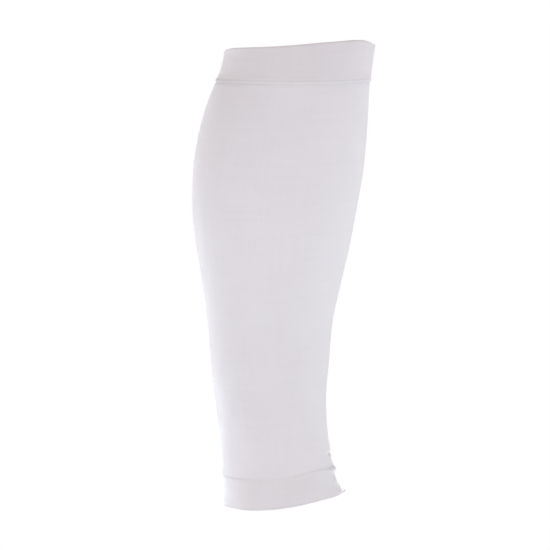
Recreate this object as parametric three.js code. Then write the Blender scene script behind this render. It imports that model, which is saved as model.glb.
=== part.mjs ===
// A knitted calf compression sleeve, in the shape that it takes on a right leg: a tapering tube of
// one ply of knit, between a deep doubled band below the knee and a doubled band at the ankle.
// Millimetres, +Z up the leg, +X towards the shin, +Y towards the inner side of the leg.
// The origin is the middle of the leg at the height where the calf is fullest.
import * as THREE from "three";

// The leg that the sleeve is stretched over
const legDepth = 120.4; // shin to calf, where the calf is fullest
const legWidth = 113; // outer side to inner side, at the same height
const hemToCalf = 246; // from the ankle hem, at the heel, up to that height
const calfToRim = 90.5; // from that height up to the rim on the outer side
const sleeveLength = hemToCalf + calfToRim;

// The knit
const legWall = 1.2; // one ply
const bandWall = 2; // two plies, folded over at the free edge
const topBandHeight = 29.2; // from the seam up to the rim on the outer side
const ankleBandHeight = 21.9; // from the hem up to the seam, at the heel
const seamGap = 0.3; // clearance between a band and the tube
const seamRibHeight = 2.8; // raised linking courses at the lower edge of the top band
const seamRibRise = 0.35; // how far they stand out of the band
const seamGrooveDepth = 0.4; // the sunk course above them
const edgeRound = 0.5; // rounded shoulder where a wall ends at a seam

// How the ankle band lies: its edges climb from the heel to the shin, and from the outer side to the
// inner side
const hemShinRise = 8.9;
const hemInnerRise = 2.3;
const seamShinRise = 7;
const seamInnerRise = 1.6;

// Mesh steps
const sides = 40; // round the leg
const creaseLevels = 9; // up the creased stretch above the ankle band
const tubeLevels = 19; // up the rest of the tube
const bandLevels = 6; // up a band
const foldSteps = 5; // round a folded edge
const creasedStretch = 0.8 * ankleBandHeight; // how far up the tube the ankle's creases reach

// Sections of the bare leg. up is a share of the sleeve's length. shin and calf reach from the axis,
// as shares of the leg's depth. outer and inner reach from the axis, as shares of its width.
// narrow is how much slimmer the section is on the shin side than on the calf side.
const SECTIONS = [
  { up: 0.0, calf: 0.312, shin: 0.34, outer: 0.302, inner: 0.312, narrow: -0.05 },
  { up: 0.05, calf: 0.314, shin: 0.332, outer: 0.294, inner: 0.301, narrow: -0.07 },
  { up: 0.1, calf: 0.316, shin: 0.314, outer: 0.286, inner: 0.29, narrow: -0.1 },
  { up: 0.155, calf: 0.327, shin: 0.285, outer: 0.284, inner: 0.288, narrow: -0.1 },
  { up: 0.235, calf: 0.363, shin: 0.273, outer: 0.3, inner: 0.307, narrow: -0.06 },
  { up: 0.31, calf: 0.391, shin: 0.288, outer: 0.328, inner: 0.34, narrow: 0.0 },
  { up: 0.4, calf: 0.413, shin: 0.31, outer: 0.37, inner: 0.392, narrow: 0.06 },
  { up: 0.48, calf: 0.445, shin: 0.358, outer: 0.413, inner: 0.44, narrow: 0.1 },
  { up: 0.56, calf: 0.484, shin: 0.411, outer: 0.452, inner: 0.482, narrow: 0.12 },
  { up: 0.64, calf: 0.515, shin: 0.454, outer: 0.48, inner: 0.505, narrow: 0.13 },
  { up: 0.731, calf: 0.509, shin: 0.499, outer: 0.495, inner: 0.505, narrow: 0.13 },
  { up: 0.81, calf: 0.466, shin: 0.519, outer: 0.492, inner: 0.49, narrow: 0.12 },
  { up: 0.87, calf: 0.412, shin: 0.529, outer: 0.478, inner: 0.47, narrow: 0.11 },
  { up: 0.905, calf: 0.37, shin: 0.534, outer: 0.469, inner: 0.46, narrow: 0.1 },
  { up: 0.935, calf: 0.331, shin: 0.54, outer: 0.461, inner: 0.451, narrow: 0.1 },
  { up: 0.97, calf: 0.307, shin: 0.553, outer: 0.455, inner: 0.445, narrow: 0.1 },
  { up: 1.0, calf: 0.305, shin: 0.566, outer: 0.453, inner: 0.443, narrow: 0.1 },
];

// Muscles and tendons that show through the knit. up and tall are shares of the sleeve's length, out
// is a share of the leg's depth, around and spread are degrees from the shin towards the inner side.
const MUSCLES = [
  { name: "cleft of the calf", up: 0.7, tall: 0.13, out: -0.014, around: 180, spread: 15 },
  { name: "shin edge", up: 0.45, tall: 0.3, out: 0.012, around: 10, spread: 15 },
  { name: "shin muscle", up: 0.72, tall: 0.17, out: 0.012, around: 318, spread: 24 },
  { name: "outer calf edge", up: 0.62, tall: 0.16, out: 0.01, around: 252, spread: 13 },
  { name: "heel tendon", up: 0.13, tall: 0.12, out: 0.014, around: 180, spread: 17 },
  { name: "inner hollow by the tendon", up: 0.1, tall: 0.1, out: -0.016, around: 138, spread: 20 },
  { name: "outer hollow by the tendon", up: 0.1, tall: 0.1, out: -0.016, around: 222, spread: 20 },
];

// Creases of the knit over the instep. up, from the hem, and tall are shares of the ankle band's
// height there, out is a share of the band's wall.
const CREASES = [
  { name: "hem kicked out", up: 0.0, tall: 0.27, out: 2.3, around: 0, spread: 30 },
  { name: "slack of the band", up: 0.7, tall: 0.13, out: -0.3, around: 0, spread: 30 },
  { name: "pinch at the seam", up: 1.0, tall: 0.06, out: -0.3, around: 0, spread: 40 },
  { name: "tuck above the seam", up: 1.25, tall: 0.25, out: -0.45, around: 0, spread: 26 },
  { name: "notch of the crease", up: 1.49, tall: 0.07, out: -0.8, around: 0, spread: 22 },
];

// How far the rim lies below its height on the outer side, as a share of the top band's height. A
// dip below zero is a rise.
const RIM = [
  { around: 0, dip: 0.094 },
  { around: 12, dip: 0.104 },
  { around: 25, dip: 0.066 },
  { around: 40, dip: 0.038 },
  { around: 55, dip: 0.075 },
  { around: 75, dip: 0.146 },
  { around: 95, dip: 0.207 },
  { around: 120, dip: 0.254 },
  { around: 150, dip: 0.264 },
  { around: 180, dip: 0.259 },
  { around: 195, dip: 0.198 },
  { around: 210, dip: 0.151 },
  { around: 225, dip: 0.126 },
  { around: 240, dip: 0.104 },
  { around: 255, dip: 0.077 },
  { around: 270, dip: 0.04 },
  { around: 285, dip: 0.0 },
  { around: 300, dip: -0.026 },
  { around: 315, dip: -0.047 },
  { around: 328, dip: -0.03 },
  { around: 338, dip: 0.024 },
  { around: 347, dip: 0.075 },
];

// Where the ankle seam and the hem are pulled up out of their planes. rise is in millimetres.
const SEAM_PULLS = [
  { name: "beside the shin", rise: 2.3, around: 312, spread: 25 },
  { name: "beside the heel", rise: 0.7, around: 200, spread: 20 },
];
const HEM_PULLS = [
  { name: "beside the shin", rise: 0.9, around: 312, spread: 28 },
  { name: "beside the heel", rise: 0.8, around: 205, spread: 18 },
];

// Value of a column at x: a smooth curve through the rows, whose slope at a row is the slope between
// its two neighbours.
function along(rows, key, column, x) {
  const passed = rows.filter((row) => row[key] <= x).length;
  const i = THREE.MathUtils.clamp(passed - 1, 0, rows.length - 2);
  const slope = (j) => {
    const before = rows[Math.max(j - 1, 0)];
    const after = rows[Math.min(j + 1, rows.length - 1)];
    return (after[column] - before[column]) / (after[key] - before[key]);
  };
  const step = rows[i + 1][key] - rows[i][key];
  const t = THREE.MathUtils.clamp((x - rows[i][key]) / step, 0, 1);
  const t2 = t * t;
  const t3 = t2 * t;
  return (
    (2 * t3 - 3 * t2 + 1) * rows[i][column] +
    (t3 - 2 * t2 + t) * step * slope(i) +
    (3 * t2 - 2 * t3) * rows[i + 1][column] +
    (t3 - t2) * step * slope(i + 1)
  );
}

// The rim's rows once more before and after the full turn, so that its curve closes on itself.
const rimTurns = [-360, 0, 360].flatMap((turn) =>
  RIM.map((row) => ({ around: row.around + turn, dip: row.dip })),
);

// Heights of the four edges in a direction round the leg, in degrees from the shin.
function rimHeight(around) {
  return calfToRim - along(rimTurns, "around", "dip", around) * topBandHeight;
}

function topSeamHeight() {
  return calfToRim - topBandHeight;
}

// How far a direction is turned from another, from -180 to 180 degrees.
function turnFrom(direction, around) {
  return THREE.MathUtils.euclideanModulo(around - direction + 180, 360) - 180;
}

// Height of a plane edge that lies level at the heel and climbs by so much to the shin and inwards.
function slopingEdge(atHeel, shinRise, innerRise, around) {
  const angle = THREE.MathUtils.degToRad(around);
  return atHeel + (shinRise * (1 + Math.cos(angle))) / 2 + innerRise * Math.sin(angle);
}

// How far an edge is pulled up: each pull fades as a bell curve with the angle from its middle.
function pulledUp(rows, around) {
  return rows.reduce((sum, row) => {
    const away = (turnFrom(row.around, around) / row.spread) ** 2;
    return sum + row.rise * Math.exp(-away);
  }, 0);
}

function hemHeight(around) {
  return slopingEdge(-hemToCalf, hemShinRise, hemInnerRise, around) + pulledUp(HEM_PULLS, around);
}

function ankleSeamHeight(around) {
  const atHeel = -hemToCalf + ankleBandHeight;
  return slopingEdge(atHeel, seamShinRise, seamInnerRise, around) + pulledUp(SEAM_PULLS, around);
}

// Point of the bare leg's outline at a height: an ellipse about the section's own middle, slimmer on
// one side.
function legOutline(around, z) {
  const up = (z + hemToCalf) / sleeveLength;
  const reach = (column) => along(SECTIONS, "up", column, up);
  const angle = THREE.MathUtils.degToRad(around);
  const halfDepth = ((reach("shin") + reach("calf")) / 2) * legDepth;
  const halfWidth = ((reach("inner") + reach("outer")) / 2) * legWidth;
  const middle = new THREE.Vector2(
    reach("shin") * legDepth - halfDepth,
    reach("inner") * legWidth - halfWidth,
  );
  const slimmer = 1 - reach("narrow") * Math.cos(angle);
  const fromMiddle = new THREE.Vector2(
    halfDepth * Math.cos(angle),
    halfWidth * Math.sin(angle) * slimmer,
  );
  return middle.add(fromMiddle);
}

// Sum of the rows' bumps: each fades as a bell curve with the height and with the angle from its
// middle.
function bumps(rows, up, around) {
  return rows.reduce((sum, row) => {
    const turn = turnFrom(row.around, around);
    const away = ((up - row.up) / row.tall) ** 2 + (turn / row.spread) ** 2;
    return sum + row.out * Math.exp(-away);
  }, 0);
}

// Point of the knit at a height, so far out of the leg's skin.
function knitPoint(around, z, out) {
  const before = legOutline(around - 1, z);
  const tangent = legOutline(around + 1, z).sub(before).normalize();
  const outward = new THREE.Vector2(tangent.y, -tangent.x);
  const muscle = bumps(MUSCLES, (z + hemToCalf) / sleeveLength, around) * legDepth;
  const hem = hemHeight(around);
  const aboveHem = (z - hem) / (ankleSeamHeight(around) - hem);
  const crease = bumps(CREASES, aboveHem, around) * bandWall;
  return legOutline(around, z).addScaledVector(outward, muscle + crease + out);
}

// Evenly spaced values from first to last, both included.
function spaced(first, last, steps) {
  return Array.from({ length: steps + 1 }, (_, i) => first + ((last - first) * i) / steps);
}

// Half round of a folded edge. It starts on the outside at startAngle 0 and goes over the top, or
// starts on the inside at startAngle 180 and goes under the bottom.
function foldedEdge(middleZ, startAngle) {
  const radius = bandWall / 2;
  return spaced(startAngle, startAngle + 180, foldSteps).map((degrees) => {
    const angle = THREE.MathUtils.degToRad(degrees);
    return { z: middleZ + radius * Math.sin(angle), out: radius + radius * Math.cos(angle) };
  });
}

// The wall sections below are closed: up the outside, over the top edge, down the inside and back
// under the bottom edge.
function tubeSection(around) {
  const low = ankleSeamHeight(around) + seamGap / 2;
  const high = topSeamHeight() - seamGap / 2;
  const creased = spaced(low + edgeRound, low + creasedStretch, creaseLevels);
  const plain = spaced(low + creasedStretch, high - edgeRound, tubeLevels).slice(1);
  const heights = [...creased, ...plain];
  return [
    { z: low, out: legWall - edgeRound },
    ...heights.map((z) => ({ z, out: legWall })),
    { z: high, out: legWall - edgeRound },
    { z: high, out: 0 },
    ...heights.map((z) => ({ z, out: 0 })).reverse(),
    { z: low, out: 0 },
  ];
}

function topBandSection(around) {
  const low = topSeamHeight() + seamGap / 2;
  const foldMiddle = rimHeight(around) - bandWall / 2;
  const ribTop = low + seamRibHeight;
  const ribShoulder = seamRibHeight / 4;
  const wallStart = ribTop + 2 * seamGrooveDepth;
  const plain = spaced(wallStart, foldMiddle, bandLevels);
  return [
    { z: low, out: bandWall - edgeRound },
    { z: low + ribShoulder, out: bandWall + seamRibRise },
    { z: ribTop - ribShoulder, out: bandWall + seamRibRise },
    { z: ribTop, out: bandWall - seamGrooveDepth },
    ...plain.slice(0, -1).map((z) => ({ z, out: bandWall })),
    ...foldedEdge(foldMiddle, 0),
    ...plain.slice(0, -1).map((z) => ({ z, out: 0 })).reverse(),
    { z: low, out: 0 },
  ];
}

function ankleBandSection(around) {
  const high = ankleSeamHeight(around) - seamGap / 2;
  const foldMiddle = hemHeight(around) + bandWall / 2;
  const plain = spaced(foldMiddle, high - edgeRound, bandLevels).slice(1);
  return [
    ...plain.map((z) => ({ z, out: bandWall })),
    { z: high, out: bandWall - edgeRound },
    { z: high, out: 0 },
    ...plain.map((z) => ({ z, out: 0 })).reverse(),
    ...foldedEdge(foldMiddle, 180),
  ];
}

// Carries a wall section once round the leg and closes it into a ring.
function ringGeometry(sectionAt) {
  const positions = [];
  const faces = [];
  const across = sectionAt(0).length;
  for (let i = 0; i < sides; i += 1) {
    const around = (360 * i) / sides;
    const next = ((i + 1) % sides) * across;
    sectionAt(around).forEach(({ z, out }, j) => {
      const point = knitPoint(around, z, out);
      positions.push(point.x, point.y, z);
      const here = i * across + j;
      const above = i * across + ((j + 1) % across);
      const beside = next + j;
      const diagonal = next + ((j + 1) % across);
      faces.push(here, beside, diagonal, here, diagonal, above);
    });
  }
  const geometry = new THREE.BufferGeometry();
  geometry.setAttribute("position", new THREE.Float32BufferAttribute(positions, 3));
  geometry.setIndex(faces);
  geometry.computeVertexNormals();
  return geometry;
}

function knitPiece(name, sectionAt, colour) {
  const material = new THREE.MeshStandardMaterial({
    name,
    color: colour,
    roughness: 0.9,
    metalness: 0,
  });
  const mesh = new THREE.Mesh(ringGeometry(sectionAt), material);
  mesh.name = name;
  return mesh;
}

const sleeve = new THREE.Group();
sleeve.name = "calf_sleeve";
sleeve.add(
  knitPiece("top_band", topBandSection, 0xd8d3d8),
  knitPiece("leg_tube", tubeSection, 0xdcd8de),
  knitPiece("ankle_band", ankleBandSection, 0xd9d5da),
);

export default sleeve;
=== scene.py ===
"""A knitted calf compression sleeve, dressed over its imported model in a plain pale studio.

Lengths are in metres and angles in degrees. +Z runs up the leg to the knee, +X towards the shin and +Y
towards the inner side of a right leg. The origin is the middle of the leg where the calf is fullest.
"""

import logging
import math
from dataclasses import dataclass, field
from enum import Enum
from typing import Callable

import bpy
import numpy as np
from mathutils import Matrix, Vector


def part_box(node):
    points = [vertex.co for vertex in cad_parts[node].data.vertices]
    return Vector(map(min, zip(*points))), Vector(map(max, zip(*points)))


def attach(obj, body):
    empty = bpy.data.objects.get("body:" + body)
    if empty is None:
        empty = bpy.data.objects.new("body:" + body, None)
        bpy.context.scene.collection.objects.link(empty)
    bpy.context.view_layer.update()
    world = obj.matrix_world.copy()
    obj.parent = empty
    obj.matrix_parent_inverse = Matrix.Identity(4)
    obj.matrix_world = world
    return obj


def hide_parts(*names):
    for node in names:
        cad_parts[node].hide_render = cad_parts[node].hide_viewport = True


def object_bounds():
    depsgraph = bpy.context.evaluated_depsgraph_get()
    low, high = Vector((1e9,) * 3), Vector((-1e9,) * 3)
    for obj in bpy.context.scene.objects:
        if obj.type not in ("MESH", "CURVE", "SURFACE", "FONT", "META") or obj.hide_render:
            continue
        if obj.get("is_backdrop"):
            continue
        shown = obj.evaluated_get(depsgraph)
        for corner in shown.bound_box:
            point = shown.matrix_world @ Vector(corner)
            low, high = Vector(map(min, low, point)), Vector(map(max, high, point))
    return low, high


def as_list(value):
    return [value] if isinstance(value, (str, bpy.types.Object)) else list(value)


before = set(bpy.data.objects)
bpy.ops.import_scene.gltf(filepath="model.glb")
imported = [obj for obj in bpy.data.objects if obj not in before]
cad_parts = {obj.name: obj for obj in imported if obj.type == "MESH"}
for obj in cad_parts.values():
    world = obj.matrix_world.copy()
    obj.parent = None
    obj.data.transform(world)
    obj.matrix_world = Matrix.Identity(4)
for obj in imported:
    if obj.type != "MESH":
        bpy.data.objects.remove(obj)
CAD_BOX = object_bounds()

Array = np.ndarray
Colour = tuple[float, float, float]
Shades = tuple[Colour, Colour]  # on the yarns and between them
Socket = bpy.types.NodeSocket
Material = bpy.types.Material
Mesh = bpy.types.Mesh
Object = bpy.types.Object

MM = 0.001
ALL_ROUND = math.inf
WALES = 420  # columns of stitches round the leg
CREASE_ANGLE = 50.0  # an edge that turns more than this is sharp
GOLDEN = 0.618  # steps by this share of a turn never repeat
KNIT_MAP = "knit"
# point layer of painted shade, which darkens the knit's colour by turned edges and seams
PAINTED_SHADE_LAYER = "shade"
JOIN_LAYER = "join"
log = logging.getLogger("sleeve")


@dataclass(frozen=True)
class Table:
    """Rows of named columns, read as smooth curves through the rows. The first column is the key."""

    columns: tuple[str, ...]
    rows: tuple[tuple[float, ...], ...]

    def column(self, name: str) -> Array:
        """Values of one column, row by row."""
        return np.array([row[self.columns.index(name)] for row in self.rows])

    def closed(self) -> "Table":
        """The same rows once more a full turn before and after, so that the curves close on themselves."""
        turns = (-360.0, 0.0, 360.0)
        return Table(self.columns, tuple((r[0] + t, *r[1:]) for t in turns for r in self.rows))

    def along(self, name: str, at: Array) -> Array:
        """Reads a column as a cubic curve whose slope at a row is the slope between its neighbours.

        Args:
            name: The column to read.
            at: Where to read it, in the key's unit.

        Returns:
            The curve's value at each place.
        """
        x, y = self.column(self.columns[0]), self.column(name)
        before, after = np.r_[0, 0 : len(x) - 1], np.r_[1 : len(x), len(x) - 1]
        slope = (y[after] - y[before]) / (x[after] - x[before])
        i = np.clip(np.searchsorted(x, at, side="right") - 1, 0, len(x) - 2)
        step = x[i + 1] - x[i]
        t = np.clip((at - x[i]) / step, 0.0, 1.0)
        from_row = (2 * t**3 - 3 * t**2 + 1) * y[i] + (t**3 - 2 * t**2 + t) * step * slope[i]
        to_row = (3 * t**2 - 2 * t**3) * y[i + 1] + (t**3 - t**2) * step * slope[i + 1]
        return from_row + to_row


@dataclass(frozen=True)
class Swells:
    """Bell-shaped swells and dents of a surface, one a row.

    A row is its name, the height of its middle, its half heights below and above that, how far it
    stands out, its direction round the leg, and its half spread in degrees.
    """

    rows: tuple[tuple[str, float, float, float, float, float, float], ...] = ()

    def out(self, up: Array, around: Array) -> Array:
        """Sum of the rows. Each fades as a bell curve with the height and the turn from its middle.

        Args:
            up: Heights, in the rows' unit.
            around: Directions in degrees.

        Returns:
            How far the surface stands out, in the rows' unit.
        """
        total = np.zeros(np.broadcast(up, around).shape)
        for _, middle, below, above, height, direction, spread in self.rows:
            turn = (around - direction + 180.0) % 360.0 - 180.0
            tall = np.where(up < middle, below, above)
            total += height * np.exp(-(((up - middle) / tall) ** 2) - (turn / spread) ** 2)
        return total


# Heights are shares of the sleeve's length, calf and shin of the leg's depth, and outer and inner of its
# width. The column narrow is how much slimmer the shin's side is than the calf's.
SECTIONS = Table(("up", "calf", "shin", "outer", "inner", "narrow"), (
    (0.0, 0.312, 0.34, 0.302, 0.312, -0.05),
    (0.05, 0.314, 0.332, 0.294, 0.301, -0.07),
    (0.1, 0.316, 0.314, 0.286, 0.29, -0.1),
    (0.155, 0.327, 0.285, 0.284, 0.288, -0.1),
    (0.235, 0.363, 0.273, 0.3, 0.307, -0.06),
    (0.31, 0.391, 0.288, 0.328, 0.34, 0.0),
    (0.4, 0.413, 0.31, 0.37, 0.392, 0.06),
    (0.48, 0.445, 0.358, 0.413, 0.44, 0.1),
    (0.56, 0.484, 0.411, 0.452, 0.482, 0.12),
    (0.64, 0.515, 0.454, 0.48, 0.505, 0.13),
    (0.731, 0.509, 0.499, 0.495, 0.505, 0.13),
    (0.81, 0.466, 0.519, 0.492, 0.49, 0.12),
    (0.87, 0.412, 0.529, 0.478, 0.47, 0.11),
    (0.905, 0.37, 0.534, 0.469, 0.46, 0.1),
    (0.935, 0.331, 0.54, 0.461, 0.451, 0.1),
    (0.97, 0.307, 0.553, 0.455, 0.445, 0.1),
    (1.0, 0.305, 0.566, 0.453, 0.443, 0.1),
))

# Heights are shares of the sleeve's length. Each stands out in shares of the leg's depth.
MUSCLES = Swells((
    ("cleft of the calf", 0.7, 0.13, 0.13, -0.014, 180.0, 15.0),
    ("shin edge", 0.45, 0.3, 0.3, 0.012, 10.0, 15.0),
    ("shin muscle", 0.72, 0.17, 0.17, 0.012, 318.0, 24.0),
    ("outer calf edge", 0.62, 0.16, 0.16, 0.01, 252.0, 13.0),
    ("heel tendon", 0.13, 0.12, 0.12, 0.014, 180.0, 17.0),
    ("inner hollow by the tendon", 0.1, 0.1, 0.1, -0.016, 138.0, 20.0),
    ("outer hollow by the tendon", 0.1, 0.1, 0.1, -0.016, 222.0, 20.0),
))

# Heights are shares of the ankle band's height from the hem. Each stands out in shares of its wall.
CREASES = Swells((
    ("hem kicked out", 0.0, 0.27, 0.27, 1.95, 0.0, 30.0),
    ("slack of the band", 0.7, 0.13, 0.13, -0.35, 0.0, 30.0),
    ("tuck above the seam", 1.25, 0.25, 0.25, -0.45, 0.0, 26.0),
    ("notch of the crease", 1.465, 0.06, 0.06, -0.9, 0.0, 19.0),
    ("lip under the notch", 1.36, 0.08, 0.05, 0.2, 0.0, 22.0),
))

# Each dip below the top of the rim is a share of the top band's height.
RIM = Table(("around", "dip"), (
    (0.0, 0.094), (12.0, 0.104), (25.0, 0.066), (40.0, 0.038),
    (55.0, 0.075), (75.0, 0.146), (95.0, 0.207), (120.0, 0.254),
    (150.0, 0.264), (180.0, 0.259), (195.0, 0.198), (210.0, 0.151),
    (225.0, 0.126), (240.0, 0.104), (255.0, 0.077), (270.0, 0.04),
    (285.0, 0.0), (300.0, -0.026), (315.0, -0.047), (328.0, -0.03),
    (338.0, 0.024), (347.0, 0.075),
)).closed()

# How far an edge is pulled up from its plane, the same at every height.
SEAM_PULLS = Swells((
    ("beside the shin", 0.0, 1.0, 1.0, 2.3 * MM, 312.0, 25.0),
    ("beside the heel", 0.0, 1.0, 1.0, 0.7 * MM, 200.0, 20.0),
))
HEM_PULLS = Swells((
    ("beside the shin", 0.0, 1.0, 1.0, 0.9 * MM, 312.0, 28.0),
    ("beside the heel", 0.0, 1.0, 1.0, 0.8 * MM, 205.0, 18.0),
))


@dataclass(frozen=True)
class SleeveForm:
    """The leg's form under the knit, and the four edges that the pieces end at."""

    leg_depth: float = 120.4 * MM
    leg_width: float = 113 * MM
    hem_to_calf: float = 246 * MM
    calf_to_rim: float = 90.5 * MM
    band_wall: float = 2 * MM
    top_band_height: float = 29.2 * MM
    ankle_band_height: float = 21.9 * MM
    hem_shin_rise: float = 8.9 * MM
    hem_inner_rise: float = 2.3 * MM
    seam_shin_rise: float = 7 * MM
    seam_inner_rise: float = 1.6 * MM

    @property
    def length(self) -> float:
        """From the hem at the heel up to the rim on the outer side."""
        return self.hem_to_calf + self.calf_to_rim

    def sloping_edge(self, at_heel: float, shin_rise: float, inner_rise: float, around: Array) -> Array:
        """Height of a plane edge that climbs from the heel to the shin and from the outer side inwards.

        Args:
            at_heel: Its height at the heel.
            shin_rise: How much higher it lies at the shin.
            inner_rise: How much higher than at the axis it lies on the inner side.
            around: Directions in degrees.

        Returns:
            Heights: at_heel plus half of shin_rise by one plus the cosine, plus inner_rise by the sine.
        """
        angle = np.radians(around)
        return at_heel + shin_rise * (1 + np.cos(angle)) / 2 + inner_rise * np.sin(angle)

    def hem(self, around: Array) -> Array:
        """Height of the ankle hem in each direction."""
        plane = self.sloping_edge(-self.hem_to_calf, self.hem_shin_rise, self.hem_inner_rise, around)
        return plane + HEM_PULLS.out(0.0, around)

    def ankle_seam(self, around: Array) -> Array:
        """Height of the seam above the ankle band.

        Args:
            around: Directions in degrees.

        Returns:
            The heights: a plane edge with the pulls added.
        """
        at_heel = -self.hem_to_calf + self.ankle_band_height
        plane = self.sloping_edge(at_heel, self.seam_shin_rise, self.seam_inner_rise, around)
        return plane + SEAM_PULLS.out(0.0, around)

    def top_seam(self, around: Array) -> Array:
        """Height of the level seam below the top band in each direction."""
        return np.full_like(around, self.calf_to_rim - self.top_band_height, dtype=float)

    def rim(self, around: Array) -> Array:
        """Height of the rim in each direction."""
        return self.calf_to_rim - RIM.along("dip", around % 360.0) * self.top_band_height

    def outline(self, around: Array, z: Array) -> tuple[Array, Array]:
        """Bare leg's outline: an ellipse about each section's own middle, slimmer on one side.

        Args:
            around: Directions in degrees.
            z: Heights.

        Returns:
            x and y of the points.
        """
        up = (z + self.hem_to_calf) / self.length
        angle = np.radians(around)
        shin, calf = (SECTIONS.along(name, up) * self.leg_depth for name in ("shin", "calf"))
        inner, outer = (SECTIONS.along(name, up) * self.leg_width for name in ("inner", "outer"))
        slimmer = 1 - SECTIONS.along("narrow", up) * np.cos(angle)
        x = (shin - calf) / 2 + (shin + calf) / 2 * np.cos(angle)
        y = (inner - outer) / 2 + (inner + outer) / 2 * np.sin(angle) * slimmer
        return x, y

    def outward(self, around: Array, z: Array) -> tuple[Array, Array]:
        """Level unit direction out of the outline: its tangent, turned a quarter.

        Args:
            around: Directions in degrees.
            z: Heights.

        Returns:
            x and y of the direction.
        """
        (x0, y0), (x1, y1) = self.outline(around - 1, z), self.outline(around + 1, z)
        size = np.hypot(x1 - x0, y1 - y0)
        return (y1 - y0) / size, (x0 - x1) / size

    def points(self, around: Array, z: Array, out: Array) -> Array:
        """Points of the knit, so far out of the leg's skin, with its muscles, creases and unevenness.

        Args:
            around: Directions in degrees.
            z: Heights.
            out: Distances out of the skin.

        Returns:
            Points, with x, y and z on the last axis.
        """
        around, z, out = np.broadcast_arrays(around, z, out)
        hem = self.hem(around)
        above_hem = (z - hem) / (self.ankle_seam(around) - hem)
        up = (z + self.hem_to_calf) / self.length
        swell = MUSCLES.out(up, around) * self.leg_depth
        swell += CREASES.out(above_hem, around) * self.band_wall
        (x, y), (nx, ny) = self.outline(around, z), self.outward(around, z)
        return np.stack([x + nx * (swell + out), y + ny * (swell + out), z], -1)


class Edge(Enum):
    """How a knitted wall ends."""

    FOLD = "folded over to a half round"
    SEAM = "square, with a rounded shoulder, where it meets the next piece"


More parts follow.
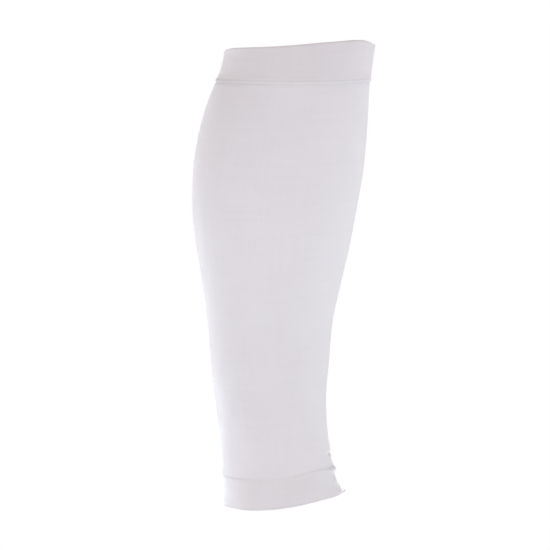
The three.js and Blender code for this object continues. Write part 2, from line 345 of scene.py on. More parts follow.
@dataclass
class KnitPiece:
    """One piece of the sleeve: a wall of knit carried once round the leg between two edges."""

    name: str
    node: str
    slot: str
    form: SleeveForm
    lower: Callable[[Array], Array]
    upper: Callable[[Array], Array]
    lower_edge: Edge
    upper_edge: Edge
    wall: float
    flat: tuple[float, float]
    above_lower: Swells = Swells()  # courses near the lower edge, by their height above it
    below_upper: Swells = Swells()  # courses near the upper edge, by their height above it, so below 0
    # painted shade by the two edges: how much the face's colour is darkened, from 0 to 1
    painted_shade_lower: Swells = Swells()  # how shaded the face is near the lower edge, from 0 to 1
    painted_shade_upper: Swells = Swells()
    dense_below: float = 0.0  # stretch above the lower edge that has closer rows
    dense_above: float = 0.0  # stretch below the upper edge that has closer rows
    fine_step: float = 0.35 * MM
    plain_step: float = 1.7 * MM
    back_fine_step: float = 1 * MM
    back_step: float = 6 * MM
    shoulder: float = 0.5 * MM
    sides: int = 360
    edge_steps: int = 6
    wales: int = WALES
    course_height: float = 0.62 * MM
    join_reach: float = 2.5 * MM  # stretch beside a seam in which no light wanders inside the knit
    relief_fade: int = 4  # how fast the courses' relief fades round the edges, as a power

    def height(self) -> float:
        """Mean height between the two edges."""
        around = np.linspace(0, 360, self.sides, endpoint=False)
        return float(np.mean(self.upper(around) - self.lower(around)))

    def rows(self, fine: float, plain: float) -> Array:
        """Shares of the height at which one side of the wall has a row.

        Args:
            fine: Step in the stretches beside the two edges.
            plain: Step between them.

        Returns:
            The shares, from 0 to 1.
        """
        tall = self.height()
        marks = [0.0, self.dense_below, tall - self.dense_above, tall]
        spans = [
            np.linspace(a, b, max(int(round((b - a) / step)), 1), endpoint=False)
            for a, b, step in zip(marks[:-1], marks[1:], (fine, plain, fine))
            if b > a
        ]
        return np.concatenate([*spans, [tall]]) / tall

    def edge(self, style: Edge, at_top: bool) -> Array:
        """Stations round one edge of the wall, as heights from the edge and distances out of the skin.

        A fold is half a circle as thick as the wall. A seam is a quarter circle at the shoulder.

        Args:
            style: How the wall ends.
            at_top: Whether it is the upper edge, which runs from the face to the back.

        Returns:
            Rows of lift and out, in the section's order.
        """
        quarter = np.linspace(0, math.pi / 2, self.edge_steps)
        half = np.linspace(0, math.pi, 2 * self.edge_steps)
        if style is Edge.FOLD:
            r = self.wall / 2
            stations = np.stack([r * np.sin(half) - r, r + r * np.cos(half)], -1)
        else:
            e = self.shoulder
            arc = np.stack([e * np.sin(quarter) - e, self.wall - e + e * np.cos(quarter)], -1)
            stations = np.concatenate([arc, [[0.0, 0.0]]])
        return stations if at_top else stations[::-1] * (-1, 1)

    def section(self) -> dict[str, Array]:
        """Closed section of the wall: up the face, over the upper edge, down the back, round below.

        Returns:
            share, lift and out of each station, and whether the face after it belongs to the back.
        """
        low, high = self.edge(self.lower_edge, False), self.edge(self.upper_edge, True)
        face = self.rows(self.fine_step, self.plain_step)[1:-1]
        back = self.rows(self.back_fine_step, self.back_step)[-2:0:-1]
        lift_low, lift_high = low[-1, 0], high[0, 0]
        share = np.concatenate([face, np.ones(len(high)), back, np.zeros(len(low))])
        lift_face = lift_low * (1 - face) + lift_high * face
        lift = np.concatenate([lift_face, high[:, 0], np.zeros(len(back)), low[:, 0]])
        out_face = np.full(len(face), self.wall)
        out = np.concatenate([out_face, high[:, 1], np.zeros(len(back)), low[:, 1]])
        is_back = np.zeros(len(share), bool)
        is_back[len(face) + len(high) - 1 : len(face) + len(high) + len(back)] = True
        return {"share": share, "lift": lift, "out": out, "back": is_back}

    def build(self) -> Object:
        """Carries the section round the leg and closes it into a ring.

        Returns:
            The piece, with its map in wales and courses and a second slot for the back of the knit.
        """
        cut = self.section()
        around = np.linspace(0, 360, self.sides, endpoint=False)[:, None]
        low, high = self.lower(around), self.upper(around)
        z = low + (high - low) * cut["share"] + cut["lift"]
        relief = self.above_lower.out(z - low, around) + self.below_upper.out(z - high, around)
        outside = np.clip(cut["out"] / self.wall, 0, 1) ** self.relief_fade
        points = self.form.points(around, z, cut["out"] + relief * outside)
        mesh = ring_mesh(self.name, points)
        # painted shade by the edges, kept on the mesh so that the finish darkens its colour
        shade = self.painted_shade_lower.out(z - low, around) + self.painted_shade_upper.out(z - high, around)
        add_layer(mesh, PAINTED_SHADE_LAYER, np.clip(shade, 0, 1))
        join = self.join(z - low, self.lower_edge) + self.join(z - high, self.upper_edge)
        add_layer(mesh, JOIN_LAYER, join)
        self.map_knit(mesh, z[0], cut["out"])
        per_face = np.tile(cut["back"], self.sides)
        mesh.polygons.foreach_set("material_index", per_face.astype(np.int32))
        return add_object(self.name, mesh)

    def join(self, away: Array, style: Edge) -> Array:
        """Nearness to a seam, from 0 to 1 on it, as a bell curve of the height off it, and 0 by a fold."""
        return np.exp(-((away / self.join_reach) ** 2)) * (style is Edge.SEAM)

    def map_knit(self, mesh: Mesh, z: Array, out: Array) -> None:
        """Maps the mesh in stitches: u counts wales round the leg, v counts courses along the section.

        Args:
            mesh: The ring's mesh, whose faces run up the section and then on round the leg.
            z: Heights of the section's stations at the shin.
            out: Their distances out of the skin.
        """
        step = np.hypot(np.diff(z, append=z[:1]), np.diff(out, append=out[:1]))
        v = np.concatenate([[0.0], np.cumsum(step)]) / self.course_height
        turn = np.arange(self.sides)[:, None] / self.sides
        u = np.broadcast_to(turn, (self.sides, len(z))) * self.wales
        ahead = u + self.wales / self.sides
        low, high = np.broadcast_to(v[:-1], u.shape), np.broadcast_to(v[1:], u.shape)
        corners = np.stack([u, low, ahead, low, ahead, high, u, high], -1)
        layer = mesh.uv_layers.new(name=KNIT_MAP)
        layer.uv.foreach_set("vector", corners.astype(np.float32).ravel())

    def dress(self, face: Material, back: Material) -> Object:
        """Builds the piece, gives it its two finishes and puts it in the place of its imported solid.

        Args:
            face: Finish of the outer side.
            back: Finish of the inner side.

        Returns:
            The piece.
        """
        piece = self.build()
        piece.data.materials.append(face)
        piece.data.materials.append(back)
        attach(piece, "root")
        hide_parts(self.node)
        report(piece, self.node)
        return piece


def ring_mesh(name: str, points: Array) -> Mesh:
    """Closes a grid of points both ways into a ring.

    Args:
        name: The mesh's name.
        points: Directions by stations by x, y and z.

    Returns:
        The mesh, with a quad from each point to the next direction and the next station.
    """
    turns, stations = points.shape[:2]
    here = np.arange(turns * stations).reshape(turns, stations)
    beside, above = np.roll(here, -1, 0), np.roll(here, -1, 1)
    quads = np.stack([here, beside, np.roll(above, -1, 0), above], -1)
    return quad_mesh(name, points.reshape(-1, 3), quads.reshape(-1, 4))


def quad_mesh(name: str, points: Array, quads: Array) -> Mesh:
    """Makes a smooth mesh of quads.

    Args:
        name: The mesh's name.
        points: Points by x, y and z.
        quads: Faces by four point numbers, in order.

    Returns:
        The mesh.
    """
    mesh = bpy.data.meshes.new(name)
    mesh.vertices.add(len(points))
    mesh.vertices.foreach_set("co", points.astype(np.float32).ravel())
    mesh.loops.add(quads.size)
    mesh.loops.foreach_set("vertex_index", quads.astype(np.int32).ravel())
    mesh.polygons.add(len(quads))
    mesh.polygons.foreach_set("loop_start", np.arange(0, quads.size, 4, dtype=np.int32))
    mesh.polygons.foreach_set("use_smooth", np.ones(len(quads), bool))
    mesh.update(calc_edges=True)
    mesh.set_sharp_from_angle(angle=math.radians(CREASE_ANGLE))
    return mesh


def add_layer(mesh: Mesh, name: str, values: Array) -> None:
    """Stores one value a point in a mesh, in the order of its points."""
    layer = mesh.attributes.new(name, "FLOAT", "POINT")
    layer.data.foreach_set("value", values.astype(np.float32).ravel())


def add_object(name: str, data: bpy.types.ID) -> Object:
    """Puts new data into the scene as an object at the origin.

    Args:
        name: The object's name.
        data: Its mesh, camera or light.

    Returns:
        The object.
    """
    made = bpy.data.objects.new(name, data)
    bpy.context.scene.collection.objects.link(made)
    return made


def report(piece: Object, node: str | None = None) -> None:
    """Logs a piece's size and, where it stands for a solid, how far its box departs from it.

    Args:
        piece: The finished piece.
        node: The solid's node.
    """
    corners = np.array(piece.bound_box) / MM
    low, high = corners.min(0), corners.max(0)
    log.info("%s: %d faces, %s mm", piece.name, len(piece.data.polygons), np.round(high - low, 1))
    if node:
        box = [np.array(corner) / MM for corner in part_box(node)]
        log.info("  off its solid by %s and %s mm", np.round(low - box[0], 1), np.round(high - box[1], 1))


@dataclass
class Strands:
    """Bare lengths of yarn, each a thin round tube along a path."""

    name: str
    radius: float
    finish: Material
    slot: str  # the record's material slot for the finish
    sides: int = 6
    bluntness: int = 8  # power by which the ends close in
    tip: float = 0.02  # square of the share of the radius that is left at an end

    def dress(self, paths: Array, across: Array) -> Object:
        """Carries a ring along each path and gives the strands their finish.

        The radius is by the root of one less a power of the way from the path's middle to its end.

        Args:
            paths: Strands by steps by x, y and z.
            across: Unit directions, not along the paths, that the rings start from.

        Returns:
            The strands as one piece.
        """
        count, steps = paths.shape[:2]
        along = unit(np.gradient(paths, axis=1))
        first = unit(across - np.sum(across * along, -1, keepdims=True) * along)
        second = np.cross(along, first)
        angle = np.linspace(0, 2 * math.pi, self.sides, endpoint=False)[:, None]
        t = np.linspace(-1, 1, steps)
        taper = np.sqrt(np.clip(1 - t**self.bluntness, self.tip, 1))[:, None, None] * self.radius
        ring = first[:, :, None] * np.cos(angle) + second[:, :, None] * np.sin(angle)
        points = paths[:, :, None] + ring * taper
        number = np.arange(count * steps * self.sides).reshape(count, steps, self.sides)
        turned = np.roll(number, -1, 2)
        walls = np.stack([number[:, :-1], turned[:, :-1], turned[:, 1:], number[:, 1:]], -1)
        ends = [self.cap(number[:, 0, ::-1]), self.cap(number[:, -1])]
        quads = np.concatenate([walls.reshape(-1, 4), *ends])
        strands = add_object(self.name, quad_mesh(self.name, points.reshape(-1, 3), quads))
        strands.data.materials.append(self.finish)
        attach(strands, "root")
        report(strands)
        return strands

    def cap(self, rings: Array) -> Array:
        """Closes end rings, each of an even number of points, with quads that fan out from the first."""
        fans = [rings[:, [0, k, k + 1, k + 2]] for k in range(1, self.sides - 2, 2)]
        return np.concatenate(fans)


def unit(vectors: Array) -> Array:
    """Vectors scaled to unit length along the last axis."""
    return vectors / np.linalg.norm(vectors, axis=-1, keepdims=True)


@dataclass(frozen=True)
class LinkingChain:
    """Row of slanting loops that links the top band to the leg tube, one loop to each wale."""

    form: SleeveForm
    yarn: Material
    slot: str
    above: float = 1.1 * MM  # how far above the seam its middle lies
    seat: float = 0.04 * MM  # how deep it sits in the band
    tall: float = 1.6 * MM
    lean: float = 0.9  # how far a loop leans over, in wales
    arch: float = 0.1 * MM
    radius: float = 0.17 * MM
    wales: int = WALES
    steps: int = 6

    def dress(self) -> Object:
        """Builds the chain: each loop climbs the band above the seam, leans over and arches out of it.

        Returns:
            The chain.
        """
        t = np.linspace(-0.5, 0.5, self.steps)
        wale = np.arange(self.wales)[:, None]
        around = (wale + self.lean * t) * 360.0 / self.wales
        middle = self.form.top_seam(around) + self.above
        out = self.form.band_wall - self.seat + self.arch * np.cos(math.pi * t)
        paths = self.form.points(around, middle + self.tall * t, out)
        nx, ny = self.form.outward(around, middle)
        across = np.stack([nx, ny, np.zeros_like(nx)], -1)
        return Strands("top_linking_chain", self.radius, self.yarn, self.slot).dress(paths, across)


@dataclass(frozen=True)
class HemFray:
    """Slack loops of yarn up the shin corner of the hem, and the loose yarn end beside them."""

    form: SleeveForm
    loop_yarn: Material
    end_yarn: Material
    slot: str
    columns: int = 7
    spread: float = 15.0  # direction of the outermost columns
    astray: float = 2.0  # how far a loop may stand beside its column, in degrees
    bow: float = 2.2  # how widely the bow to either side varies, in degrees
    lean: float = 1.2  # how far a loop's top lies beside its foot, in degrees
    rows: int = 6
    row_height: float = 1.25 * MM
    stagger: float = 0.4  # how far a loop may stand above its row, in rows
    loop_tall: float = 1.7 * MM
    loop_seat: float = 0.1 * MM  # how deep a loop's foot sits in the knit
    reach: float = 0.9 * MM
    end_length: float = 4.6 * MM
    end_rise: float = 2.4 * MM
    end_aside: float = 0.6 * MM
    end_above: float = 0.3 * MM  # where it leaves the band, above the hem
    end_around: float = -4.0
    end_thickness: float = 2.2  # in loop yarns
    radius: float = 0.16 * MM
    steps: int = 12

    def loops(self) -> Object:
        """Builds the loops, each half an oval that stands out of the knit and leans to one side.

        The reach of a loop varies between half and one and a half of the usual one, by the golden ratio
        times its number, and falls off with the height above the hem.

        Returns:
            The loops as one piece.
        """
        number = np.arange(self.columns * self.rows)
        column, row = number % self.columns, number // self.columns
        uneven = ((number * GOLDEN) % 1.0)[:, None]
        t = np.linspace(0, 1, self.steps)
        columns = np.linspace(-self.spread, self.spread, self.columns)
        middle = columns[column][:, None] + self.astray * uneven
        around = middle + self.bow * (uneven - 0.5) * np.sin(math.pi * t) + self.lean * t
        foot = self.form.band_wall / 2 + self.row_height * (row[:, None] + self.stagger * uneven)
        lift = foot + self.loop_tall * t
        reach = self.reach * (0.5 + uneven) * (1 - row[:, None] / (self.rows + 1))
        out = self.form.band_wall - self.loop_seat + reach * np.sin(math.pi * t)
        paths = self.form.points(around, self.form.hem(around) + lift, out)
        nx, ny = self.form.outward(middle, self.form.hem(middle))
        across = np.broadcast_to(np.stack([-ny, nx, np.zeros_like(nx)], -1), paths.shape)
        return Strands("hem_loops", self.radius, self.loop_yarn, self.slot).dress(paths, across)

    def end(self) -> Object:
        """Builds the loose yarn end, which leaves the hem and rises as one less a cosine.

        Returns:
            The yarn end.
        """
        t = np.linspace(0, 1, self.steps)
        around = np.array([self.end_around])
        start = self.form.points(around, self.form.hem(around) + self.end_above, np.array([0.0]))
        curl = self.end_rise * (1 - np.cos(math.pi * t / 2))
        path = start + np.stack([self.end_length * t, -self.end_aside * t, curl], -1)
        radius = self.end_thickness * self.radius
        strands = Strands("loose_yarn_end", radius, self.end_yarn, self.slot)
        return strands.dress(path[None], np.array([[[0.0, 0.0, 1.0]]]))

    def dress(self) -> list[Object]:
        """Builds the loops and the yarn end, each of its own yarn."""
        return [self.loops(), self.end()]


class Graph:
    """A material's or world's node tree, with short calls for the nodes used here."""

    def __init__(self, owner: Material | bpy.types.World) -> None:
        """Empties the owner's tree.

        Args:
            owner: What the tree belongs to.
        """
        owner.use_nodes = True
        self.tree = owner.node_tree
        self.tree.nodes.clear()

    def node(self, kind: str, **settings: object) -> bpy.types.Node:
        """Adds a node.

        Args:
            kind: The node's type, without the leading ShaderNode.
            settings: Its properties.

        Returns:
            The node.
        """
        made = self.tree.nodes.new("ShaderNode" + kind)
        for name, value in settings.items():
            setattr(made, name, value)
        return made

    def feed(self, socket: Socket, value: Socket | float | tuple) -> None:
        """Links a socket to another or sets its value.

        Args:
            socket: The input.
            value: What it takes.
        """
        if isinstance(value, Socket):
            self.tree.links.new(value, socket)
        else:
            socket.default_value = value

    def math(self, operation: str, *values: Socket | float) -> Socket:
        """Adds a Math node.

        Args:
            operation: What it does.
            values: Its inputs.

        Returns:
            Its result.
        """
        made = self.node("Math", operation=operation)
        for socket, value in zip(made.inputs, values):
            self.feed(socket, value)
        return made.outputs[0]

    def noise(self, at: Socket, scale: float, detail: float = 2.0) -> Socket:
        """Adds a noise texture.

        Args:
            at: The place that it reads.
            scale: How many of its swells lie in a unit of the place.
            detail: How many finer noises it adds.

        Returns:
            Its value, about 0.5 on average.
        """
        made = self.node("TexNoise", noise_dimensions="3D")
        self.feed(made.inputs["Vector"], at)
        made.inputs["Scale"].default_value = scale
        made.inputs["Detail"].default_value = detail
        return made.outputs[0]

    def blend(self, share: Socket, low: Socket | Colour, high: Socket | Colour) -> Socket:
        """Mixes two colours.

        Args:
            share: The second colour's share.
            low: The first colour.
            high: The second colour.

        Returns:
            The mixed colour.
        """
        made = self.node("Mix", data_type="RGBA")
        for socket, value in zip((made.inputs[0], made.inputs[6], made.inputs[7]), (share, low, high)):
            self.feed(socket, (*value, 1.0) if isinstance(value, tuple) else value)
        return made.outputs[2]

    def bump(self, height: Socket, distance: float) -> bpy.types.Node:
        """Adds a Bump node.

        Args:
            height: The relief, from 0 to about 1.
            distance: How far 1 stands out.

        Returns:
            The node.
        """
        made = self.node("Bump")
        made.inputs["Distance"].default_value = distance
        self.feed(made.inputs["Height"], height)
        return made

    def principled(self, values: dict[str, Socket | float | tuple]) -> Socket:
        """Adds a Principled shader.

        Args:
            values: Its inputs by their names.

        Returns:
            Its result.
        """
        made = self.node("BsdfPrincipled")
        for name, value in values.items():
            self.feed(made.inputs[name], value)
        return made.outputs[0]

    def surface(self, kind: str, shader: Socket) -> None:
        """Ends the tree in an output of the given kind, fed with a shader."""
        self.feed(self.node("Output" + kind).inputs["Surface"], shader)


class Stitch(Enum):
    """Which side of the knit shows."""

    FACE = "columns of arrow-shaped stitches"
    BACK = "rows of interlocking arcs"


@dataclass(frozen=True)
class Unevenness:
    """Noise stretched over the knit map, and its share of the tone."""

    per_wale: float
    per_course: float
    share: float
    detail: float = 2.0


@dataclass(frozen=True)
class KnitFinish:
    """Fine elastic knit: stitches in relief, uneven courses and a soft sheen."""

    name: str
    stitch: Stitch
    light: Colour
    shade: Colour
    # colour that the painted shade darkens the knit towards
    deep: Colour = (0.3, 0.27, 0.31)
    passing: float = 1.8 * MM  # how far light wanders inside the knit
    roughness: float = 0.78
    sheen: float = 0.22
    sheen_roughness: float = 0.4
    sheen_tint: Colour = (0.95, 0.93, 1.0)
    specular: float = 0.25
    stitch_depth: float = 0.14 * MM
    course_depth: float = 0.12 * MM
    course_share: float = 0.5  # of single courses, beside the bands, in that relief
    arm_rise: float = 1.8  # how many courses an arm of a stitch climbs in a wale
    arc_swing: float = 0.3  # how many courses an arc of the back swings
    arc_column: tuple[float, float] = (0.6, 0.7)  # slope and start of an arc's height across a wale
    column_share: float = 0.6  # how much of the relief follows the columns
    darkest: float = 0.2  # tone between the yarns, from the shade's 0 to the light's 1
    stitch_share: float = 0.42  # how much lighter the yarns are
    bands: Unevenness = Unevenness(0.012, 0.2, 0.2, 3.0)
    courses: Unevenness = Unevenness(0.03, 0.9, 0.2)
    wales: Unevenness = Unevenness(0.45, 0.01, 0.16)
    cloud_scale: float = 28.0
    cloud_share: float = 0.14
    seed: float = 0.0

    def stitches(self, g: Graph, u: Socket, v: Socket) -> Socket:
        """Height of the stitches, from 0 between the yarns to 1 on them.

        On the face each wale holds two yarns that rise outwards from its middle, so the course's phase
        is v less the distance from the middle. On the back the yarns swing up and down once a wale.

        Args:
            g: The node tree.
            u: Wales.
            v: Courses.

        Returns:
            The height.
        """
        across = g.math("ABSOLUTE", g.math("SUBTRACT", g.math("FRACT", u), 0.5))
        if self.stitch is Stitch.FACE:
            phase = g.math("FRACT", g.math("SUBTRACT", v, g.math("MULTIPLY", across, self.arm_rise)))
            column = g.math("SINE", g.math("MULTIPLY", across, 2 * math.pi))
        else:
            turn = g.math("COSINE", g.math("MULTIPLY", u, 2 * math.pi))
            phase = g.math("FRACT", g.math("ADD", v, g.math("MULTIPLY", turn, self.arc_swing)))
            slope, start = self.arc_column
            column = g.math("ADD", g.math("MULTIPLY", across, slope), start)
        yarn = g.math("SINE", g.math("MULTIPLY", phase, math.pi))
        weight = g.math("ADD", g.math("MULTIPLY", column, self.column_share), 1 - self.column_share)
        return g.math("MULTIPLY", yarn, weight)

    def uneven(self, g: Graph, u: Socket, v: Socket, kind: Unevenness) -> Socket:
        """Adds one of the finish's noises.

        Args:
            g: The node tree.
            u: Wales.
            v: Courses.
            kind: Which.

        Returns:
            Its value.
        """
        x, y = g.math("MULTIPLY", u, kind.per_wale), g.math("MULTIPLY", v, kind.per_course)
        place = g.node("CombineXYZ")
        for socket, value in zip(place.inputs, (x, y, self.seed)):
            g.feed(socket, value)
        return g.noise(place.outputs[0], 1.0, kind.detail)

    def make(self) -> Material:
        """Makes the material.

        Returns:
            It, reading the knit map for all that follows the stitches and the object's own place for
            the slow changes of tone.
        """
        material = bpy.data.materials.new(self.name)
        g = Graph(material)
        parts = g.node("SeparateXYZ")
        g.feed(parts.inputs[0], g.node("UVMap", uv_map=KNIT_MAP).outputs[0])
        u, v = parts.outputs[0], parts.outputs[1]
        stitches = self.stitches(g, u, v)
        kinds = (self.bands, self.courses, self.wales)
        bands, courses, wales = (self.uneven(g, u, v, kind) for kind in kinds)
        cloud = g.noise(g.node("TexCoord").outputs["Object"], self.cloud_scale)
        shares = (*(kind.share for kind in kinds), self.cloud_share)
        tone = g.math("MULTIPLY_ADD", stitches, self.stitch_share, self.darkest)
        for part, share in zip((bands, courses, wales, cloud), shares):
            tone = g.math("MULTIPLY_ADD", g.math("SUBTRACT", part, 0.5), share, tone)
        # painted shade from the mesh's layer darkens the colour towards deep
        shade = g.node("Attribute", attribute_name=PAINTED_SHADE_LAYER).outputs["Fac"]
        join = g.node("Attribute", attribute_name=JOIN_LAYER).outputs["Fac"]
        uneven = g.math("ADD", bands, g.math("MULTIPLY", courses, self.course_share))
        relief = g.bump(uneven, self.course_depth)
        bump = g.bump(stitches, self.stitch_depth)
        g.feed(bump.inputs["Normal"], relief.outputs[0])
        shader = g.principled({
            "Base Color": g.blend(shade, g.blend(tone, self.shade, self.light), self.deep),
            "Normal": bump.outputs[0],
            "Roughness": self.roughness,
            "Subsurface Weight": g.math("SUBTRACT", 1.0, join),
            "Subsurface Radius": (1.0, 1.0, 1.0),
            "Subsurface Scale": self.passing,
            "Specular IOR Level": self.specular,
            "Sheen Weight": self.sheen,
            "Sheen Roughness": self.sheen_roughness,
            "Sheen Tint": (*self.sheen_tint, 1.0),
        })
        g.surface("Material", shader)
        return material


@dataclass(frozen=True)
class YarnFinish:
    """Bare twisted yarn."""

    name: str
    light: Colour
    shade: Colour
    passing: float = 0.6 * MM
    roughness: float = 0.7
    sheen: float = 0.3
    ply_scale: float = 2600.0
    ply_depth: float = 0.05 * MM

    def make(self) -> Material:
        """Makes the material.

        Returns:
            It, with the yarn's plies as a fine noise in tone and relief.
        """
        material = bpy.data.materials.new(self.name)
        g = Graph(material)
        plies = g.noise(g.node("TexCoord").outputs["Object"], self.ply_scale, 1.0)
        shader = g.principled({
            "Base Color": g.blend(plies, self.shade, self.light),
            "Normal": g.bump(plies, self.ply_depth).outputs[0],
            "Roughness": self.roughness,
            "Subsurface Weight": 1.0,
            "Subsurface Radius": (1.0, 1.0, 1.0),
            "Subsurface Scale": self.passing,
            "Sheen Weight": self.sheen,
        })
        g.surface("Material", shader)
        return material


@dataclass(frozen=True)
class Softbox:
    """A flat light that faces the sleeve. Azimuth 0 is the camera's side, positive to its right."""

    name: str
    azimuth: float
    elevation: float
    distance: float
    width: float
    height: float
    power: float
    aim: float  # height of the point that it faces
    tint: Colour
    spread: float = 180.0  # angle that its grid lets the beam open to

    def make(self) -> Object:
        """Hangs the light.

        Returns:
            The light, turned to a point of the leg's axis at height aim.
        """
        data = bpy.data.lights.new(self.name, "AREA")
        data.shape = "RECTANGLE"
        data.size, data.size_y = self.width, self.height
        data.energy, data.color = self.power, self.tint
        data.spread = math.radians(self.spread)
        light = add_object(self.name, data)
        a, e = math.radians(self.azimuth), math.radians(self.elevation)
        level = math.cos(e)
        away = Vector((math.sin(a) * level, -math.cos(a) * level, math.sin(e)))
        light.location = Vector((0, 0, self.aim)) + away * self.distance
        light.rotation_euler = away.to_track_quat("Z", "Y").to_euler()
        return light


FRONT_TINT = (0.939, 1.049, 1.041)
LEFT_TINT = (0.873, 1.04, 1.108)
RIGHT_TINT = (0.805, 1.065, 1.165)


@dataclass(frozen=True)
class Studio:
    """White room: a floor well below the sleeve, an even sky and a few softboxes."""

    floor_height: float = -0.62
    floor_radius: float = 60.0
    floor_sides: int = 96
    floor_colour: Colour = (0.0, 0.0, 0.0)
    floor_glow: float = 1.0
    horizon: Colour = (1.0, 1.0, 1.0)
    zenith: Colour = (0.899, 0.849, 0.813)
    zenith_from: float = 0.05  # sine of the elevation at which the sky begins to turn
    zenith_at: float = 0.25  # and at which it has turned
    # name, azimuth, elevation, distance, width, height, power, height of its aim, tint, spread
    softboxes: tuple[Softbox, ...] = (
        Softbox("front_low", 0, -6, 1.0, 0.5, 0.3, 3.6, -0.27, FRONT_TINT),
        Softbox("front_left", -50, 0, 2.4, 0.9, 1.6, 1.2, 0.0, FRONT_TINT),
        Softbox("left_low", -125, -18, 1.0, 0.35, 0.6, 1.8, -0.24, LEFT_TINT),
        Softbox("left_ankle", -128, -5, 1.0, 0.15, 0.15, 0.07, -0.25, LEFT_TINT, 16),
        Softbox("left_behind", -140, -12, 0.9, 0.3, 0.5, 3.9, -0.24, LEFT_TINT),
        Softbox("right_low", 110, -15, 1.1, 0.35, 0.5, 3.1, -0.2, RIGHT_TINT),
        Softbox("right_corner", 135, 0, 1.0, 0.1, 0.1, 0.01, 0.09, RIGHT_TINT, 8),
    )

    def make(self) -> None:
        """Makes the sky, the floor and the lights."""
        self.sky()
        self.floor()
        for box in self.softboxes:
            box.make()
        bpy.context.scene.view_settings.view_transform = "Standard"

    def sky(self) -> None:
        """Lights the room from all round: white at the horizon, a little warmer overhead."""
        world = bpy.data.worlds.new("white_room")
        bpy.context.scene.world = world
        g = Graph(world)
        direction = g.node("SeparateXYZ")
        g.feed(direction.inputs[0], g.node("TexCoord").outputs["Generated"])
        ramp = g.node("MapRange", interpolation_type="SMOOTHSTEP")
        g.feed(ramp.inputs["Value"], direction.outputs[2])
        ramp.inputs["From Min"].default_value = self.zenith_from
        ramp.inputs["From Max"].default_value = self.zenith_at
        shader = g.node("Background")
        g.feed(shader.inputs["Color"], g.blend(ramp.outputs[0], self.horizon, self.zenith))
        g.surface("World", shader.outputs[0])

    def floor(self) -> None:
        """Lays a wide round floor that glows like a lit white cove and can be seen through from below."""
        angle = np.linspace(0, 2 * math.pi, self.floor_sides, endpoint=False)
        rim = np.stack([np.cos(angle), np.sin(angle), np.zeros_like(angle)], -1) * self.floor_radius
        mesh = bpy.data.meshes.new("floor")
        mesh.from_pydata(rim + (0, 0, self.floor_height), [], [list(range(self.floor_sides))])
        material = bpy.data.materials.new("white_floor")
        g = Graph(material)
        shader = g.principled({
            "Base Color": (*self.floor_colour, 1.0),
            "Roughness": 1.0,
            "Specular IOR Level": 0.0,
            "Emission Color": (1.0, 1.0, 1.0, 1.0),
            "Emission Strength": self.floor_glow,
        })
        side = g.node("MixShader")
        g.feed(side.inputs[0], g.node("NewGeometry").outputs["Backfacing"])
        g.feed(side.inputs[1], shader)
        g.feed(side.inputs[2], g.node("BsdfTransparent").outputs[0])
        g.surface("Material", side.outputs[0])
        mesh.materials.append(material)
        add_object("floor", mesh)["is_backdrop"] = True


@dataclass(frozen=True)
class Camera:
    """Long lens that looks slightly down at the sleeve's outer side."""

    place: tuple[float, float, float] = (-2.3 * MM, -2.9, 192 * MM)
    target: tuple[float, float, float] = (-2.3 * MM, 0.0, -78.6 * MM)
    lens: float = 264.4
    sensor: float = 36.0
    far_clip: float = 200.0

    def make(self) -> None:
        """Sets up the camera and makes it the scene's."""
        data = bpy.data.cameras.new("camera")
        data.lens, data.sensor_width = self.lens, self.sensor
        data.clip_end = self.far_clip
        camera = add_object("camera", data)
        camera.location = self.place
        away = Vector(self.place) - Vector(self.target)
        camera.rotation_euler = away.to_track_quat("Z", "Y").to_euler()
        bpy.context.scene.camera = camera


# Painted shade beside the ankle seam, where the photo shows the seam darkest: how much the knit's colour
# is darkened there.
ANKLE_SEAM_PAINTED_SHADE = Swells((
    ("seam by the calf", 0.0, 0.6 * MM, 0.6 * MM, 0.28, 195.0, 38.0),
    ("seam by the shin", 0.0, 0.6 * MM, 0.6 * MM, 0.05, 312.0, 14.0),
))


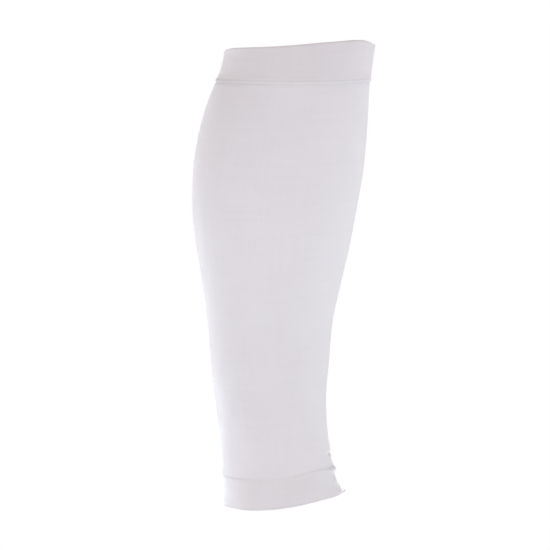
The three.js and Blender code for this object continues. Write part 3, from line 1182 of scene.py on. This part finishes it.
@dataclass
class Sleeve:
    """The whole sleeve: three knitted pieces, the chain that links the top band, and the hem's fray."""

    form: SleeveForm = field(default_factory=SleeveForm)
    seam_gap: float = 0.02 * MM
    leg_wall: float = 1.2 * MM
    band: Shades = ((0.749, 0.712, 0.746), (0.579, 0.543, 0.577))
    leg: Shades = ((0.758, 0.727, 0.762), (0.595, 0.564, 0.602))
    cuff: Shades = ((0.743, 0.71, 0.742), (0.576, 0.54, 0.573))
    # the inside's colours are lighter than the face's: painted light that brightens the shaded inside of
    # the tube
    inner: Shades = ((0.9, 0.88, 0.9), (0.8, 0.78, 0.8))
    yarn: Shades = ((0.9, 0.875, 0.9), (0.758, 0.727, 0.762))
    yarn_end: Shades = ((0.55, 0.54, 0.52), (0.36, 0.35, 0.34))
    yarn_end_passing: float = 0.1 * MM
    back_seed: float = 7.0  # place in the noise that the inside reads

    def top_band(self) -> KnitPiece:
        """Deep doubled band below the knee, with its linking ridge and three sunk courses."""
        form = self.form
        return KnitPiece(
            name="top_band_knit",
            node="top_band",
            slot="band_knit",
            form=form,
            lower=form.top_seam,
            upper=form.rim,
            lower_edge=Edge.SEAM,
            upper_edge=Edge.FOLD,
            wall=form.band_wall,
            flat=(0.255, 0.026),
            above_lower=Swells((
                ("linking ridge", 1.1 * MM, 0.8 * MM, 0.7 * MM, 0.14 * MM, 0.0, ALL_ROUND),
                ("ridge by the calf", 1.1 * MM, 0.9 * MM, 1.6 * MM, 0.2 * MM, 192.0, 24.0),
                ("course above the ridge", 2.9 * MM, 0.5 * MM, 0.5 * MM, -0.1 * MM, 0.0, ALL_ROUND),
                ("second sunk course", 5.3 * MM, 0.5 * MM, 0.5 * MM, -0.08 * MM, 0.0, ALL_ROUND),
                ("third sunk course", 7.6 * MM, 0.5 * MM, 0.5 * MM, -0.05 * MM, 0.0, ALL_ROUND),
            )),
            # painted shade along the rim's turned edge
            painted_shade_upper=Swells((("turned edge", 0.0, 1.2 * MM, 1 * MM, 0.22, 0.0, ALL_ROUND),)),
            dense_below=10 * MM,
            dense_above=3.5 * MM,
            plain_step=1 * MM,
            shoulder=0.3 * MM,
        )

    def leg_tube(self) -> KnitPiece:
        """Tapering tube of one ply."""
        form, gap = self.form, self.seam_gap
        return KnitPiece(
            name="leg_knit",
            node="leg_tube",
            slot="leg_knit",
            form=form,
            lower=lambda around: form.ankle_seam(around) + gap,
            upper=lambda around: form.top_seam(around) - gap,
            lower_edge=Edge.SEAM,
            upper_edge=Edge.SEAM,
            wall=self.leg_wall,
            flat=(0.235, 0.283),
            above_lower=Swells((
                ("eased over the band", 0.0, 1 * MM, 5 * MM, 0.35 * MM, 0.0, ALL_ROUND),
                ("pinch by the shin", 0.0, 1 * MM, 1.1 * MM, -0.2 * MM, 0.0, 26.0),
            )),
            below_upper=Swells(
                (("course below the seam", -2.6 * MM, 0.5 * MM, 0.5 * MM, 0.07 * MM, 0.0, ALL_ROUND),)
            ),
            # painted shade by the ankle seam
            painted_shade_lower=ANKLE_SEAM_PAINTED_SHADE,
            dense_below=18 * MM,
            dense_above=3 * MM,
            fine_step=0.5 * MM,
            shoulder=0.12 * MM,
        )

    def ankle_band(self) -> KnitPiece:
        """Doubled band at the ankle, eased against the tube, with a lip by the shin."""
        form = self.form
        return KnitPiece(
            name="ankle_band_knit",
            node="ankle_band",
            slot="cuff_knit",
            form=form,
            lower=form.hem,
            upper=form.ankle_seam,
            lower_edge=Edge.FOLD,
            upper_edge=Edge.SEAM,
            wall=form.band_wall,
            flat=(0.18, 0.02),
            below_upper=Swells((
                ("eased against the tube", 0.0, 5 * MM, 1 * MM, -0.4 * MM, 0.0, ALL_ROUND),
                ("lip by the shin", -2.1 * MM, 1.9 * MM, 1.2 * MM, 1.3 * MM, 0.0, 22.0),
                ("close to the heel", -11 * MM, 20 * MM, 20 * MM, -0.8 * MM, 188.0, 34.0),
            )),
            # painted shade along the hem's turned edge, a little more by the shin
            painted_shade_lower=Swells((
                ("turned edge", 0.0, 1 * MM, 1.1 * MM, 0.28, 0.0, ALL_ROUND),
                ("turned edge by the shin", 0.0, 1 * MM, 1.2 * MM, 0.1, 320.0, 40.0),
            )),
            # painted shade by the ankle seam
            painted_shade_upper=ANKLE_SEAM_PAINTED_SHADE,
            dense_below=3.5 * MM,
            dense_above=5 * MM,
            plain_step=0.7 * MM,
            shoulder=0.15 * MM,
            join_reach=1.1 * MM,
        )

    def build(self) -> None:
        pieces = (self.top_band(), self.leg_tube(), self.ankle_band())
        knits = (("band", self.band), ("leg", self.leg), ("cuff", self.cuff))
        made = []
        for piece, (name, shades) in zip(pieces, knits):
            face = KnitFinish(f"{name}_knit_face", Stitch.FACE, *shades).make()
            back = KnitFinish(f"{name}_knit_back", Stitch.BACK, *self.inner, seed=self.back_seed).make()
            made.append(piece.dress(face, back))
        yarn = YarnFinish("yarn", *self.yarn).make()
        chain = LinkingChain(self.form, yarn, "band_knit").dress()
        end_yarn = YarnFinish("end_yarn", *self.yarn_end, passing=self.yarn_end_passing).make()
        fray = HemFray(self.form, yarn, end_yarn, "cuff_knit").dress()
        for cloth, piece, trim in zip(made, pieces, ([chain], [], fray)):
            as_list(trim)


def write_sizes() -> None:
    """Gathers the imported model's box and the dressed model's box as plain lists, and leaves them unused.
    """
    boxes = {"cad": CAD_BOX, "visual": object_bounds()}
    {name: [list(corner) for corner in box] for name, box in boxes.items()}


def main() -> None:
    """Builds the camera, the studio and the sleeve, in that order."""
    logging.basicConfig(level=logging.INFO, format="%(message)s")
    Camera().make()
    Studio().make()
    Sleeve().build()
    write_sizes()


if __name__ == "__main__":
    main()
